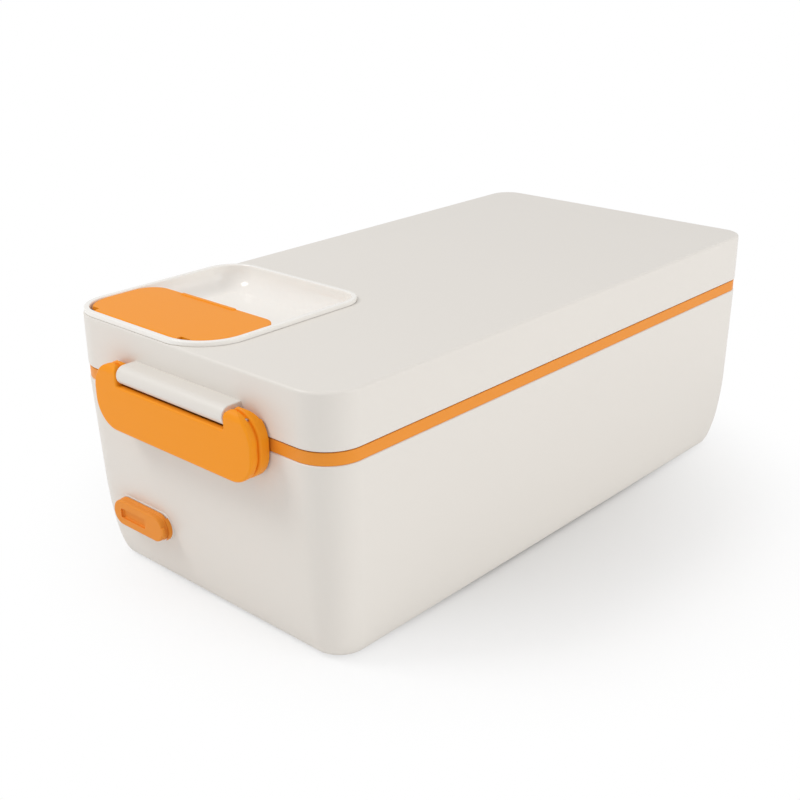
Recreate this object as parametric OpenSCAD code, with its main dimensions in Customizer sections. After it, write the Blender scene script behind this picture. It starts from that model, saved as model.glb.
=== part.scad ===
// Electric lunch box: a heated base with a lift-out steel pot, under a hinged lid with a steam vent.
// X runs across the box, +Y from the latch end to the hinge end, +Z up.
// The origin is on the ground, under the middle of the box. Millimetres.

/* [Body] */
// Width of the box at its rim
body_w = 120; // [112:1:132]
// Length of the box at its rim, from the latch end to the hinge end
body_l = 232; // [222:1:250]
// Height of the base shell below the band
base_h = 65.9; // [62:0.1:76]
// Height of the orange band between base and lid
band_h = 4; // [3.4:0.1:5]
// Height of the lid's side
lid_h = 17.7; // [17:0.1:21]
// Gap between the band and the closed lid
lid_gap = 0.3; // [0.2:0.05:0.6]
// Wall thickness of the moulded shells
wall = 2.2; // [1.8:0.1:2.6]
// How far the feet stand below the base shell
foot_proud = 1; // [0.6:0.1:2]

/* [Body corners and draft] */
// Corner radius at the latch end, seen from above
front_corner_r = 13; // [11:0.5:16]
// Corner radius at the hinge end, seen from above
rear_corner_r = 9; // [8:0.5:12]
// Corner radius at the latch end along the bottom edge
front_bottom_r = 8.6; // [6:0.2:10]
// Corner radius at the hinge end along the bottom edge
rear_bottom_r = 3.5; // [3:0.1:6]
// Inward lean of each long side, from rim to bottom
side_draft = 1.9; // [1:0.1:3]
// Inward lean of the latch end, from rim to bottom
front_draft = 2.9; // [2:0.1:4]
// Inward lean of the hinge end, from rim to bottom
rear_draft = 0.4; // [0.2:0.1:1.5]
// Height over which the lower body rounds inwards
round_h = 30.8; // [24:0.2:34]
// How far the rounding takes in each long side
side_round = 3.5; // [2:0.1:5]
// How far the rounding takes in the latch end
front_round = 4.9; // [3:0.1:6]
// How far the rounding takes in the hinge end
rear_round = 10.2; // [7:0.1:12]
// Radius of the lid's upper edge
lid_edge_r = 1; // [0.8:0.1:1.2]

/* [Band and rim] */
// Set-back of the band behind the shell's face
band_recess = 0.3; // [0.1:0.05:0.5]
// Thickness of the band
band_t = 2.6; // [2.4:0.1:3]
// Thickness of the liner's deck
deck_t = 2; // [1.6:0.1:2.4]
// Width of the ledge inside the base shell that carries the deck
ledge_w = 3; // [2.5:0.1:3.6]
// Thickness of that ledge
ledge_t = 2.5; // [2:0.1:3]

/* [Heating well and pot] */
// Room at the latch end for the power inlet, from the body's face to the well
bay_l = 23; // [22:0.5:30]
// Space between the body's long side and the well
side_room = 6.5; // [6.2:0.1:8]
// Space between the body's hinge end and the well
rear_room = 6.5; // [6.2:0.1:9]
// Corner radius of the well
well_r = 12; // [9:0.5:15]
// Wall thickness of the well
well_t = 1.6; // [1.2:0.1:2]
// Height of the well's floor above the shell's bottom edge
well_floor_h = 18; // [17:0.5:22]
// Thickness of the well's floor
floor_t = 2; // [1.6:0.1:2.4]
// Gap between the pot and the well
pot_gap = 0.8; // [0.5:0.1:1.2]
// Thickness of the pot's sheet steel
pot_t = 0.8; // [0.6:0.1:1]
// Radius between the pot's wall and its bottom
pot_bottom_r = 8; // [5:0.5:10]
// Overhang of the pot's rim on the deck
pot_rim_w = 2; // [1.6:0.1:2.2]
// Thickness of the pot's rim
pot_rim_t = 1; // [0.8:0.1:1.2]
// Clearance under pieces that rest on another body
seat_gap = 0.3; // [0.2:0.05:0.4]

/* [Heater] */
// Half width of the heating plate
plate_half_w = 44; // [38:0.5:46]
// Half length of the heating plate
plate_half_l = 78; // [70:1:82]
// Thickness of the heating plate above the well's floor
plate_t = 1.5; // [1.2:0.1:2]
// Width of the step by which the plate rests on the well's floor
plate_step = 3; // [2:0.5:5]
// Length of the heating element
ptc_l = 60; // [50:1:70]
// Width of the heating element
ptc_w = 34; // [28:1:40]
// Thickness of the heating element
ptc_t = 5; // [4:0.5:5.5]
// Width of the strap that presses the element to the plate
clamp_w = 16; // [12:1:20]
// Thickness of that strap
clamp_t = 0.8; // [0.6:0.1:1]
// Radius of the thermostat's disc
thermostat_r = 8; // [7:0.5:9]
// Height of the thermostat
thermostat_h = 5; // [4:0.5:5.5]
// Thickness of the insulation pad
pad_t = 4; // [3:0.5:5]

/* [Power inlet and its cover] */
// Distance of the inlet's centre from the box's left side
inlet_side = 30.5; // [30:0.5:34]
// Height of the inlet's centre above the shell's bottom edge
inlet_h = 21.7; // [21:0.1:26]
// Width of the inlet's well
inlet_well_w = 19.4; // [18.5:0.1:20]
// Height of the inlet's well
inlet_well_h = 8.2; // [8:0.1:8.4]
// Wall of the inlet's housing round its well
inlet_wall = 1; // [0.8:0.1:1.1]
// Depth of the inlet's well
inlet_depth = 12; // [10:0.5:12]
// Radius of each contact pin
contact_r = 1.18; // [1:0.02:1.3]
// Distance between the two contact pins
contact_pitch = 8.6; // [8:0.1:9]
// Length of the socket cover's face
cover_l = 26; // [25:0.5:27]
// Height of the socket cover's face
cover_h = 8.9; // [8.8:0.1:9.6]
// How far the cover's flange shows round its face
cover_rim = 0.2; // [0.2:0.05:0.4]
// Thickness of the cover from its seat to its face
cover_t = 3.1; // [2.8:0.1:4]
// Thickness of the cover's flange
cover_flange_t = 1.3; // [1:0.1:1.6]
// Length of the finger slot in the cover's face
slot_l = 13; // [10:0.5:15]
// Height of that slot
slot_h = 3.5; // [2.5:0.1:4.5]
// Depth of that slot
slot_depth = 1; // [0.5:0.1:1.4]
// Depth of the plug behind the cover, inside the inlet
plug_depth = 2; // [1.5:0.1:2.2]
// Wall thickness of the hollow plug
plug_t = 1.2; // [1:0.1:1.4]
// Radius of the bead on which the cover turns
bead_r = 0.6; // [0.5:0.05:0.7]
// How far the fixed anchor shows beside the cover
anchor_show = 0.9; // [0.8:0.1:1.2]

/* [Lid inside] */
// Thickness of the lid's top
lid_t = 2.2; // [1.8:0.1:2.6]
// Thickness of the inner cover
liner_t = 2; // [1.6:0.1:2.4]
// Height of the inner cover above the deck
liner_above_deck = 4; // [3.9:0.1:4.6]
// Thickness of the seal's tongue, which sits in a groove of the inner cover
seal_tongue_t = 1.2; // [1:0.1:1.4]
// Width of the seal
seal_w = 2.4; // [2.2:0.1:2.6]

/* [Steam vent] */
// Width of the recess
recess_width = 67.2; // [66:0.2:68]
// Rear edge of the recess from the latch end's face
recess_rear = 70.9; // [69:0.1:73]
// Left edge of the recess from the box's left side
recess_left = 0.35; // [0.3:0.05:0.6]
// Front edge of the recess from the latch end's face
recess_front = 0.35; // [0.3:0.05:0.6]
// Height of the recess's rim above the lid
rim_proud = 1.5; // [1.2:0.1:1.8]
// Width of the recess's rim
rim_w = 1.8; // [1.7:0.1:2]
// Depth of the finger bowl below the lid's top
bowl_depth = 7.2; // [5:0.1:7.6]
// How far the bowl's wall curves in towards its floor
bowl_round = 7; // [5:0.5:9]
// Thickness of the bowl's wall
bowl_t = 1.8; // [1.4:0.1:2]
// Depth of the flap's face below the recess's rim
flap_depth = 0.3; // [0.2:0.05:0.5]
// Thickness of the vent flap
flap_t = 2; // [1.8:0.1:2.2]
// Rear edge of the flap from the latch end's face
flap_rear = 33.3; // [33:0.1:36]
// Gap round the flap
flap_gap = 0.3; // [0.2:0.05:0.5]
// Overhang of the flap over the finger bowl
flap_overhang = 6.5; // [5:0.1:7]
// Length of the finger lip along the flap's rear edge
lip_l = 27; // [20:1:30]
// Height of that lip
lip_h = 0.4; // [0.3:0.05:0.6]
// Radius of the flap's hinge pin
flap_pin_r = 0.5; // [0.4:0.05:0.6]
// Distance of the steam valve from the box's left side
valve_side = 32; // [26:0.5:38]
// Distance of the steam valve from the latch end's face
valve_front = 19.5; // [18.5:0.5:20.5]
// Radius of the valve's stem
valve_r = 2.6; // [2.4:0.1:3]
// Radius of the hole through the valve
valve_hole_r = 1.5; // [1.4:0.1:1.6]

/* [Latch] */
// Half length of the latch lever
latch_half_w = 36.9; // [34:0.1:40]
// Lower edge of the lever below the lid's top
latch_low = 31.5; // [30:0.1:34]
// Corner radius of the lever seen from the front
latch_r = 9.5; // [8:0.1:10.5]
// Thickness of the lever's front plate
latch_plate_t = 2.4; // [2:0.1:3]
// Depth of the lever's pivot below the lid's top
pivot_depth = 12.6; // [12:0.1:13.2]
// Distance of the pivot from the lid's end face
pivot_out = 4.4; // [4.2:0.1:4.8]
// Radius of the white barrel that carries the lever
barrel_r = 3.1; // [2.8:0.1:3.1]
// Half length of that barrel
barrel_half_l = 25; // [22:0.5:27]
// Radius of the lever's ears about the pivot
ear_r = 3.2; // [3.1:0.1:3.5]
// Gap between the lever and the wall behind it
latch_wall_gap = 0.4; // [0.3:0.05:0.6]
// Radius of the latch pin
latch_pin_r = 1; // [0.8:0.05:1.1]

/* [Rear hinge] */
// Radius of the hinge knuckles
knuckle_r = 3.5; // [3.2:0.1:3.8]
// Distance of the hinge axis from the body's end face
hinge_out = 4; // [3.9:0.05:4.4]
// Radius of the hinge pin
hinge_pin_r = 1.25; // [1.1:0.05:1.4]
// Half width of the whole hinge
hinge_half_w = 35; // [30:1:38]
// Width of each knuckle on the base
base_knuckle_w = 10; // [8:0.5:12]
// Height of the webs that join the knuckles to the shells
web_h = 9; // [7:0.5:10]

/* [Screws and feet] */
// Radius of the case screws
screw_r = 1.5; // [1.3:0.05:1.6]
// Radius of a case screw's head
screw_head_r = 2.8; // [2.5:0.1:3]
// Thickness of a case screw's head
screw_head_t = 1.6; // [1.2:0.1:1.6]
// Radius of the screw bosses
boss_r = 3.4; // [3.2:0.1:3.8]
// Distance of the bottom screws from the latch end
bottom_screw_front = 40; // [38:0.5:42]
// Distance of the bottom screws from the hinge end
bottom_screw_rear = 20; // [18:0.5:22]
// Distance of the lid screws from the long sides
lid_screw_side = 10; // [9:0.5:11]
// Distance of the foremost lid screw from the latch end
lid_screw_front = 20; // [19:0.5:24]
// Distance of the rearmost lid screws from the hinge end
lid_screw_rear = 18; // [15:0.5:22]
// Radius of the small screws of the inlet and the strap
small_screw_r = 1.2; // [1:0.05:1.3]
// Radius of each rubber foot
foot_r = 6; // [5:0.5:7]
// Distance of the feet from the long sides
foot_side = 24; // [22:0.5:26]
// Distance of the front feet from the latch end
foot_front = 26; // [24:0.5:28]
// Distance of the rear feet from the hinge end
foot_rear = 34; // [32:0.5:36]
// Depth of a foot's pocket in the bottom cover
foot_pocket = 1; // [0.8:0.1:1.2]
// Radial clearance round pins and screws
fit = 0.05; // [0.03:0.01:0.08]

/* [Hidden] */

cream = [0.898, 0.886, 0.867];
white = [0.95, 0.94, 0.93];
orange = [0.957, 0.627, 0.243];
steel = [0.75, 0.76, 0.78];
black = [0.12, 0.12, 0.13];
eps = 0.01;
through = 0.5;
arc_steps = 8;
pin_fn = 32;
foot_fn = 48;

// Clearances that several pieces share
head_gap = 0.2;
side_gap = 0.2;
screw_end_gap = 0.3;
pin_end_gap = 0.5;

// Heights of the main planes
z_shell = foot_proud;
z_band = z_shell + base_h;
z_rim = z_band + band_h;
z_deck = z_band + deck_t;
z_lid = z_rim + lid_gap;
z_top = z_lid + lid_h;
z_floor = z_shell + well_floor_h;
z_under_floor = z_floor - floor_t;
z_cover_in = z_shell + wall;
z_liner = z_deck + liner_above_deck;
z_pivot = z_top - pivot_depth;
z_hinge = z_rim;
z_inlet = z_shell + inlet_h;

side_x = body_w / 2;
front_y = -body_l / 2;
rear_y = body_l / 2;
y_pivot = front_y - pivot_out;
y_hinge = rear_y + hinge_out;
inlet_x = -side_x + inlet_side;
valve_x = -side_x + valve_side;

rim_box = [-side_x, front_y, side_x, rear_y];
rim_radii = [front_corner_r, front_corner_r, rear_corner_r, rear_corner_r];
well_box = [-side_x + side_room, front_y + bay_l, side_x - side_room, rear_y - rear_room];
well_radii = [well_r, well_r, well_r, well_r];

// ---- Outlines ----

function arc(x, y, r, from) =
    [for (i = [0:arc_steps]) let (a = from + 90 * i / arc_steps) [x + r * cos(a), y + r * sin(a)]];

// Rectangle [x0, y0, x1, y1] with corner radii [near left, near right, far right, far left]
function rounded(b, r) = concat(
    arc(b[0] + r[0], b[1] + r[0], r[0], 180),
    arc(b[2] - r[1], b[1] + r[1], r[1], 270),
    arc(b[2] - r[2], b[3] - r[2], r[2], 0),
    arc(b[0] + r[3], b[3] - r[3], r[3], 90));

function shrink(b, d) = [b[0] + d, b[1] + d, b[2] - d, b[3] - d];
function shrink_radii(radii, d) = [for (r = radii) max(r - d, 1)];

module outline(b, radii, d = 0) {
    polygon(rounded(shrink(b, d), shrink_radii(radii, d)));
}

module slab(b, radii, d, low, high) {
    translate([0, 0, low]) linear_extrude(high - low) outline(b, radii, d);
}

// Wall between two insets of one outline
module ring(b, radii, outer, inner, low, high) {
    translate([0, 0, low]) linear_extrude(high - low) difference() {
        outline(b, radii, outer);
        outline(b, radii, inner);
    }
}

// Flat-sided shape with round ends, lying along X, its axis along Y
module stadium(l, h, depth, fn = pin_fn) {
    rotate([90, 0, 0]) linear_extrude(depth) {
        square([l - h, h], center = true);
        for (s = [-1, 1]) translate([s * (l - h) / 2, 0]) circle(h / 2, $fn = fn);
    }
}

module rod_x(r, half_l) {
    rotate([0, 90, 0]) cylinder(r = r, h = 2 * half_l, center = true, $fn = pin_fn);
}

// Screw that enters upwards, its head's underside at the origin
module screw_up(r, head_r, head_t, length) {
    cylinder(r = r, h = length, $fn = pin_fn);
    translate([0, 0, -head_t]) cylinder(r = head_r, h = head_t, $fn = pin_fn);
}

// ---- Base body's outer form ----

// Share of the lower rounding at height h above the shell's bottom edge
function bulge(h) = h >= round_h ? 0 : 1 - sqrt(1 - pow((round_h - h) / round_h, 2));
function lean(h) = 1 - h / base_h;
function side_in(h) = side_draft * lean(h) + side_round * bulge(h);
function front_in(h) = front_draft * lean(h) + front_round * bulge(h);
function rear_in(h) = rear_draft * lean(h) + rear_round * bulge(h);
function body_box(h) =
    [-side_x + side_in(h), front_y + front_in(h), side_x - side_in(h), rear_y - rear_in(h)];
function corner_share(h) = side_in(h) / side_in(0);
function mix(a, b, t) = a + (b - a) * t;
function body_radii(h) =
    let (f = mix(front_corner_r, front_bottom_r, corner_share(h)),
         r = mix(rear_corner_r, rear_bottom_r, corner_share(h)))
    [f, f, r, r];

round_levels = [for (a = [0:15:90]) round_h * (1 - cos(a))];

// Solid of the base body, taken in by d all round
module body_form(d, below = 0, above = 0) {
    hull() {
        translate([0, 0, z_shell - below]) linear_extrude(eps) outline(body_box(0), body_radii(0), d);
        for (h = round_levels)
            translate([0, 0, z_shell + h]) linear_extrude(eps) outline(body_box(h), body_radii(h), d);
        translate([0, 0, z_band + above - eps]) linear_extrude(eps) outline(rim_box, rim_radii, d);
    }
}

// ---- Base ----

// Flat seat of the socket cover, and the pad behind it that carries the inlet
seat_proud = 0.4;
seat_back = 3;
seat_border = 0.6;
y_seat = front_y + front_draft * lean(inlet_h) - seat_proud;
inlet_pad_t = 5.5;
inlet_pad_sunk = 1.6;
y_pad = y_seat + inlet_pad_t;
nose_l = inlet_well_w + 2 * inlet_wall;
nose_h = inlet_well_h + 2 * inlet_wall;
mouth_gap = 0.1;
mouth_lip_t = 1.5;
nose_back = mouth_lip_t + 0.2;
nose_gap = 0.15;
inlet_ear_w = 8;
pad_half_w = nose_l / 2 + inlet_ear_w;
pad_half_h = nose_h / 2 + 3;
inlet_flange_t = 2;
inlet_screw_dx = pad_half_w - inlet_ear_w / 2;
inlet_screw_l = 5;
small_head_r = small_screw_r + 0.9;
small_head_t = 1.2;

// Catch rib above the latch's hook
catch_half_w = 21;
catch_t = 2.5;
catch_tip = 3.3;
hook_half_w = 20;
hook_t = 2;
catch_over_edge = 4.6;
catch_low = latch_low - catch_over_edge;

module catch_rib() {
    translate([-catch_half_w, front_y - catch_tip, z_top - catch_low])
        cube([2 * catch_half_w, catch_tip + wall, catch_t]);
}

// Where the webs run into the knuckles, from the hinge axis
web_reach = 0.68 * knuckle_r;
web_sink = 1;

module base_knuckle(side) {
    x = side * (hinge_half_w - base_knuckle_w / 2);
    translate([x, y_hinge, z_hinge]) rod_x(knuckle_r, base_knuckle_w / 2);
    // Web from the knuckle down to the shell's end wall, below the band
    translate([x - base_knuckle_w / 2, 0, 0]) rotate([90, 0, 90]) linear_extrude(base_knuckle_w)
        polygon([[rear_y, z_band - eps], [y_hinge, z_hinge - web_sink],
                 [y_hinge + web_reach, z_hinge - web_reach], [rear_y - wall / 2, z_band - web_h],
                 [rear_y - wall / 2, z_band - eps]]);
}

module base_shell() {
    color(cream) difference() {
        union() {
            difference() {
                body_form(0);
                body_form(wall, through, through);
            }
            // Ledge under the deck
            ring(rim_box, rim_radii, wall / 2, wall + ledge_w, z_band - ledge_t, z_band);
            catch_rib();
            for (side = [-1, 1]) base_knuckle(side);
            // Flat seat for the cover outside and the inlet's pad inside
            translate([inlet_x, y_seat + seat_back, z_inlet])
                stadium(cover_l + 2 * cover_rim + 2 * anchor_show, cover_h + 2 * cover_rim + seat_border,
                        seat_back);
            translate([inlet_x - pad_half_w, y_seat + inlet_pad_sunk, z_inlet - pad_half_h])
                cube([2 * pad_half_w, inlet_pad_t - inlet_pad_sunk, 2 * pad_half_h]);
        }
        // Mouth of the inlet, and behind its lip the room for the housing's nose
        translate([inlet_x, y_pad + through, z_inlet]) {
            stadium(inlet_well_w + 2 * mouth_gap, inlet_well_h + 2 * mouth_gap,
                    inlet_pad_t + 2 * through);
            stadium(nose_l + 2 * nose_gap, nose_h + 2 * nose_gap, inlet_pad_t + through - mouth_lip_t);
        }
        for (s = [-1, 1]) translate([inlet_x + s * inlet_screw_dx, y_pad + through, z_inlet])
            rotate([90, 0, 0]) cylinder(r = small_screw_r + fit,
                h = inlet_screw_l - inlet_flange_t + screw_end_gap + through, $fn = pin_fn);
        translate([0, y_hinge, z_hinge]) rod_x(hinge_pin_r + fit, hinge_half_w + through);
    }
}

module trim_band() {
    color(orange)
        ring(rim_box, rim_radii, band_recess, band_recess + band_t, z_band, z_rim);
}

bottom_screw_in = 2;
bottom_screw_l = 9;
screw_x = plate_half_w - bottom_screw_in;
foot_x = side_x - foot_side;

module at_bottom_screws() {
    for (x = [-screw_x, screw_x], y = [front_y + bottom_screw_front, rear_y - bottom_screw_rear])
        translate([x, y, 0]) children();
}

module at_feet() {
    for (x = [-foot_x, foot_x], y = [front_y + foot_front, rear_y - foot_rear])
        translate([x, y, 0]) children();
}

module bottom_cover() {
    color(cream) difference() {
        slab(body_box(0), body_radii(0), wall + side_gap, z_shell, z_cover_in);
        at_bottom_screws() {
            translate([0, 0, z_shell - through])
                cylinder(r = screw_r + fit, h = wall + 2 * through, $fn = pin_fn);
            translate([0, 0, z_shell - through])
                cylinder(r = screw_head_r + head_gap, h = screw_head_t + through, $fn = pin_fn);
        }
        at_feet() translate([0, 0, z_shell - through])
            cylinder(r = foot_r, h = foot_pocket + through, $fn = foot_fn);
    }
}

module bottom_screws() {
    color(steel) at_bottom_screws()
        translate([0, 0, z_shell + screw_head_t])
            screw_up(screw_r, screw_head_r, screw_head_t, bottom_screw_l);
}

module rubber_feet() {
    color(black) at_feet() cylinder(r = foot_r, h = foot_proud + foot_pocket, $fn = foot_fn);
}

// ---- Heating well ----

plate_y = (well_box[1] + well_box[3]) / 2;
plate_radii = [6, 6, 6, 6];

module plate_area(d, low, high) {
    b = [-plate_half_w, plate_y - plate_half_l, plate_half_w, plate_y + plate_half_l];
    slab(b, plate_radii, d, low, high);
}

module inner_liner() {
    color(white) difference() {
        union() {
            slab(rim_box, rim_radii, band_recess + band_t + side_gap, z_band, z_deck);
            slab(well_box, well_radii, 0, z_under_floor, z_deck - eps);
            at_bottom_screws() translate([0, 0, z_cover_in])
                cylinder(r = boss_r, h = z_under_floor - z_cover_in + eps, $fn = pin_fn);
        }
        slab(well_box, well_radii, well_t, z_floor, z_deck + through);
        plate_area(plate_step, z_under_floor - through, z_floor + through);
        at_bottom_screws() translate([0, 0, z_shell + screw_head_t])
            cylinder(r = screw_r + fit, h = bottom_screw_l + screw_end_gap, $fn = pin_fn);
    }
}

module heating_plate() {
    color(steel) difference() {
        union() {
            plate_area(0, z_floor, z_floor + plate_t);
            plate_area(plate_step, z_under_floor, z_floor);
        }
        at_clamp_screws() translate([0, 0, -through])
            cylinder(r = small_screw_r + fit, h = clamp_screw_l - clamp_t + screw_end_gap + through,
                     $fn = pin_fn);
    }
}

z_ptc = z_under_floor - ptc_t;
y_ptc = plate_y - ptc_l / 2;
lead_dx = 7;
lead_w = 6;
lead_l = 5;
lead_t = 3;

module ptc_heater() {
    color(steel) translate([-ptc_w / 2, y_ptc, z_ptc]) cube([ptc_w, ptc_l, ptc_t]);
    color(white) for (s = [-1, 1])
        translate([s * lead_dx - lead_w / 2, y_ptc - lead_l, z_ptc + (ptc_t - lead_t) / 2])
            cube([lead_w, lead_l, lead_t]);
}

clamp_foot_l = 9;
clamp_screw_dx = ptc_w / 2 + 5;
clamp_screw_l = 3;
clamp_half_l = ptc_w / 2 + clamp_foot_l;

module at_clamp_screws() {
    for (s = [-1, 1]) translate([s * clamp_screw_dx, plate_y, z_under_floor]) children();
}

module heater_clamp() {
    color(steel) difference() {
        translate([0, plate_y + clamp_w / 2, 0]) rotate([90, 0, 0]) linear_extrude(clamp_w)
            polygon([[-clamp_half_l, z_under_floor], [-clamp_half_l, z_under_floor - clamp_t],
                     [-ptc_w / 2 - clamp_t, z_under_floor - clamp_t],
                     [-ptc_w / 2 - clamp_t, z_ptc - clamp_t],
                     [ptc_w / 2 + clamp_t, z_ptc - clamp_t], [ptc_w / 2 + clamp_t, z_under_floor - clamp_t],
                     [clamp_half_l, z_under_floor - clamp_t], [clamp_half_l, z_under_floor],
                     [ptc_w / 2, z_under_floor], [ptc_w / 2, z_ptc], [-ptc_w / 2, z_ptc],
                     [-ptc_w / 2, z_under_floor]]);
        at_clamp_screws() translate([0, 0, -clamp_t - through])
            cylinder(r = small_screw_r + fit, h = clamp_t + 2 * through, $fn = pin_fn);
    }
}

module clamp_screws() {
    color(steel) at_clamp_screws() translate([0, 0, -clamp_t])
        screw_up(small_screw_r, small_head_r, small_head_t, clamp_screw_l);
}

// Thermostat and fuse, side by side before the heating element
cutout_gap = 24;
thermostat_x = -14;
thermostat_y = y_ptc - cutout_gap;
z_thermostat = z_under_floor - thermostat_h;
tab_dx = 4;
tab = [3, 4, 2];
fuse_x = 12;
fuse_y = thermostat_y;
fuse_r = 2;
fuse_half_l = 7;
z_fuse = z_under_floor - fuse_r;

module thermostat() {
    color(black) translate([thermostat_x, thermostat_y, z_thermostat])
        cylinder(r = thermostat_r, h = thermostat_h, $fn = foot_fn);
    color(steel) for (s = [-1, 1])
        translate([thermostat_x + s * tab_dx - tab.x / 2, thermostat_y - tab.y / 2, z_thermostat - tab.z])
            cube(tab);
}

module thermal_fuse() {
    color(white) translate([fuse_x, fuse_y, z_fuse]) rod_x(fuse_r, fuse_half_l);
}

pad_side = 8;
pad_over = 8;

module insulation_pad() {
    color(white) translate([-plate_half_w + pad_side, y_ptc - pad_over, z_cover_in])
        cube([2 * (plate_half_w - pad_side), ptc_l + 2 * pad_over, pad_t]);
}

// ---- Wiring: routes chosen by hand, from the inlet's tabs to the heater ----

wire_r = 0.9;
wire_sides = 8;
tab_drop = 7.7;
inlet_back_t = 2;
y_tab = y_seat + inlet_depth + inlet_back_t;
z_tab = z_inlet - tab_drop;
z_run = z_under_floor - 3.5;
z_lead = z_ptc + ptc_t / 2;
z_thermostat_tab = z_thermostat - tab.z / 2;
y_thermostat_tab = thermostat_y - tab.y / 2;
contact_dx = contact_pitch / 2;

function unit(v) = v / norm(v);
function along(p) =
    [for (i = [0:len(p) - 1]) unit(p[min(i + 1, len(p) - 1)] - p[max(i - 1, 0)])];
function square_to(n, t) = unit(n - (n * t) * t);
// Cross direction carried from ring to ring without twist
function carried(t, n0) =
    let (last = len(t) - 1)
    [for (i = 0, n = square_to(n0, t[0]); i <= last; i = i + 1, n = square_to(n, t[min(i, last)])) n];

module wire(p, n0) {
    s = wire_sides;
    t = along(p);
    n = carried(t, n0);
    count = len(p);
    rings = [for (i = [0:count - 1], k = [0:s - 1])
        let (a = 360 * k / s) p[i] + wire_r * (cos(a) * n[i] + sin(a) * cross(t[i], n[i]))];
    skin = [for (i = [0:count - 2], k = [0:s - 1])
        let (q = (k + 1) % s) [i * s + k, i * s + q, (i + 1) * s + q, (i + 1) * s + k]];
    first_end = [for (k = [s - 1:-1:0]) k];
    last_end = [for (k = [0:s - 1]) (count - 1) * s + k];
    polyhedron(rings, concat([first_end], skin, [last_end]));
}

// From the left contact to the thermostat
live_route = [
    [inlet_x - contact_dx, y_tab, z_tab], [inlet_x - contact_dx, y_tab, z_tab - 1.5],
    [inlet_x - contact_dx, y_tab + 1.5, z_run - 0.3], [inlet_x - contact_dx, y_tab + 4.5, z_run - 1.5],
    [inlet_x - contact_dx + 2, y_tab + 20, z_run - 1.5],
    [thermostat_x - 10, thermostat_y - 18, z_run - 2.5],
    [thermostat_x - tab_dx, y_thermostat_tab - 6, z_thermostat_tab],
    [thermostat_x - tab_dx, y_thermostat_tab, z_thermostat_tab]];
// From the right contact to the heating element
neutral_route = [
    [inlet_x + contact_dx, y_tab, z_tab], [inlet_x + contact_dx, y_tab, z_tab - 1.5],
    [inlet_x + contact_dx, y_tab + 1.5, z_run - 0.3], [inlet_x + contact_dx, y_tab + 4.5, z_run - 1.5],
    [inlet_x + 14, y_tab + 12, z_run - 2], [2, y_tab + 18, z_run - 2], [22, thermostat_y - 12, z_run - 2],
    [26, thermostat_y + 4, z_run - 2], [16, y_ptc - lead_l - 8, z_lead],
    [lead_dx, y_ptc - lead_l - 3.5, z_lead], [lead_dx, y_ptc - lead_l, z_lead]];
// From the thermostat to the fuse
link_route = [
    [thermostat_x + tab_dx, y_thermostat_tab, z_thermostat_tab],
    [thermostat_x + tab_dx, y_thermostat_tab - 3, z_thermostat_tab],
    [thermostat_x + tab_dx + 4.5, y_thermostat_tab - 6, z_thermostat_tab],
    [thermostat_x + tab_dx + 8, thermostat_y - 5, z_run],
    [fuse_x - fuse_half_l - 3.5, fuse_y - 1, z_fuse], [fuse_x - fuse_half_l - 1.5, fuse_y, z_fuse],
    [fuse_x - fuse_half_l, fuse_y, z_fuse]];
// From the fuse to the heating element
return_route = [
    [fuse_x + fuse_half_l, fuse_y, z_fuse], [fuse_x + fuse_half_l + 1.5, fuse_y, z_fuse],
    [fuse_x + fuse_half_l + 2.5, fuse_y + 4, z_fuse], [fuse_x + 2, fuse_y + 8, z_fuse - 0.2],
    [-4, y_ptc - lead_l - 7, z_lead], [-lead_dx, y_ptc - lead_l - 3.5, z_lead],
    [-lead_dx, y_ptc - lead_l, z_lead]];

module internal_wiring() {
    color(orange) {
        wire(live_route, [1, 0, 0]);
        wire(neutral_route, [1, 0, 0]);
        wire(link_route, [0, 0, 1]);
        wire(return_route, [0, 0, 1]);
    }
}

// ---- Power inlet ----

y_well_back = y_seat + inlet_depth;
flange_over = 1;
contact_short = 4;
solder_half_w = 1.6;
solder_t = 0.8;

module inlet_housing() {
    color(black) difference() {
        union() {
            translate([inlet_x, y_tab, z_inlet]) stadium(nose_l, nose_h, y_tab - y_seat - nose_back);
            translate([inlet_x - pad_half_w, y_pad, z_inlet - nose_h / 2 - flange_over])
                cube([2 * pad_half_w, inlet_flange_t, nose_h + 2 * flange_over]);
        }
        translate([inlet_x, y_well_back, z_inlet])
            stadium(inlet_well_w, inlet_well_h, inlet_depth + through);
        for (s = [-1, 1]) {
            translate([inlet_x + s * contact_dx, y_tab + through, z_inlet]) rotate([90, 0, 0])
                cylinder(r = contact_r, h = inlet_back_t + 2 * through, $fn = pin_fn);
            translate([inlet_x + s * inlet_screw_dx, y_pad + inlet_flange_t + through, z_inlet])
                rotate([90, 0, 0])
                    cylinder(r = small_screw_r + fit, h = inlet_flange_t + 2 * through, $fn = pin_fn);
        }
    }
}

module inlet_contacts() {
    color(steel) for (s = [-1, 1]) translate([inlet_x + s * contact_dx, 0, z_inlet]) {
        translate([0, y_tab, 0]) rotate([90, 0, 0])
            cylinder(r = contact_r, h = inlet_depth + inlet_back_t - contact_short, $fn = pin_fn);
        // Solder tab, bent down behind the housing
        translate([-solder_half_w, y_tab, -tab_drop])
            cube([2 * solder_half_w, solder_t, tab_drop + solder_half_w]);
    }
}

module inlet_screws() {
    color(steel) for (s = [-1, 1])
        translate([inlet_x + s * inlet_screw_dx, y_pad + inlet_flange_t, z_inlet])
            rotate([90, 0, 0]) screw_up(small_screw_r, small_head_r, small_head_t, inlet_screw_l);
}

// ---- Socket cover ----

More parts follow.
